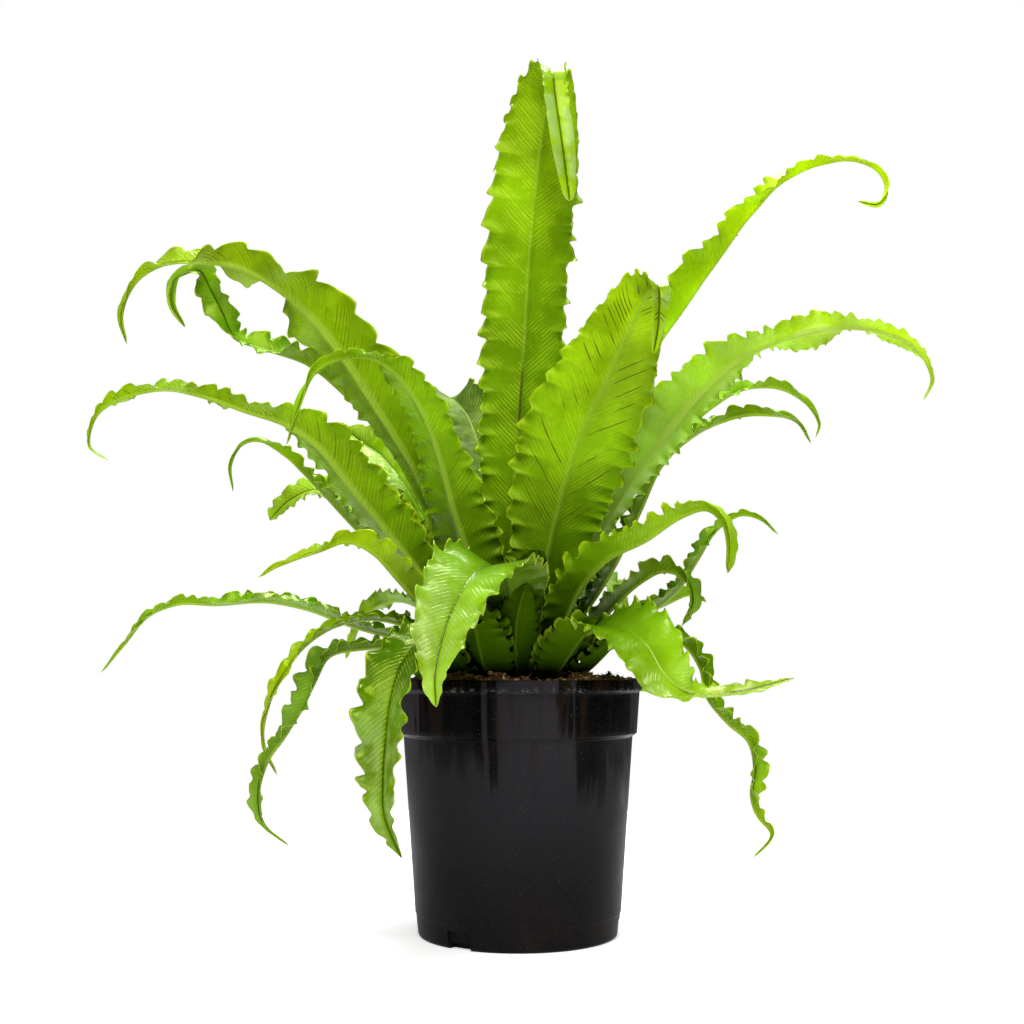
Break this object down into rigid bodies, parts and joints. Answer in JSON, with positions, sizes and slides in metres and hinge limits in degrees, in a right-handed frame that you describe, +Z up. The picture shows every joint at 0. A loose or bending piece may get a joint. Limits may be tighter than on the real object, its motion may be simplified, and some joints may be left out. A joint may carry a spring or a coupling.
{
  "type": "potted bird's nest fern",
  "caption": "Bird's nest fern with long ruffled, arching and hanging fronds, growing from a scaly crown in a soil-filled round black nursery pot that stands on its flat base.",
  "frame": {"origin": "middle of the pot's flat underside, on the surface that it stands on", "axes": "+Z up, -Y towards the viewer of the picture, +X to the viewer's right"},
  "size_m": [0.5357, 0.393, 0.5567],
  "materials": {
    "pot": "thin moulded black plastic, satin gloss, with pale dust specks and dried brown drip marks",
    "soil": "loose brown bark and coir crumbs, matt",
    "crown": "dark scaly rhizome with fine brown hairs, matt",
    "frond": "glossy yellow-green living leaf, paler beneath, with fine slanting veins and a pale midrib"
  },
  "bodies": {
    "root": {"pot": "pot", "soil": "soil", "crown": "crown", "frond_tall_centre": "frond", "frond_big_right": "frond", "frond_left_centre": "frond", "frond_left_upper": "frond", "frond_left_upper_back": "frond", "frond_left_middle": "frond", "frond_left_thin_back": "frond", "frond_left_blunt": "frond", "frond_left_yellow_tip": "frond", "frond_left_low_long": "frond", "frond_left_yellow_rib": "frond", "frond_left_hanging": "frond", "frond_front_left_hanging": "frond", "frond_front_fold": "frond", "frond_front_centre": "frond", "frond_front_right_fold": "frond", "frond_right_upper": "frond", "frond_right_middle": "frond", "frond_right_back_upper": "frond", "frond_right_back_lower": "frond", "frond_right_tip_hanging": "frond", "frond_right_thin": "frond", "frond_right_droop": "frond", "frond_right_low": "frond", "frond_right_hanging": "frond", "frond_back_centre": "frond", "frond_back_left": "frond", "frond_back_left_low": "frond", "frond_back_low": "frond", "frond_back_middle": "frond", "frond_back_right_tall": "frond", "frond_back_right_low": "frond", "frond_inner_left": "frond", "frond_young": "frond"}
  },
  "joints": []
}
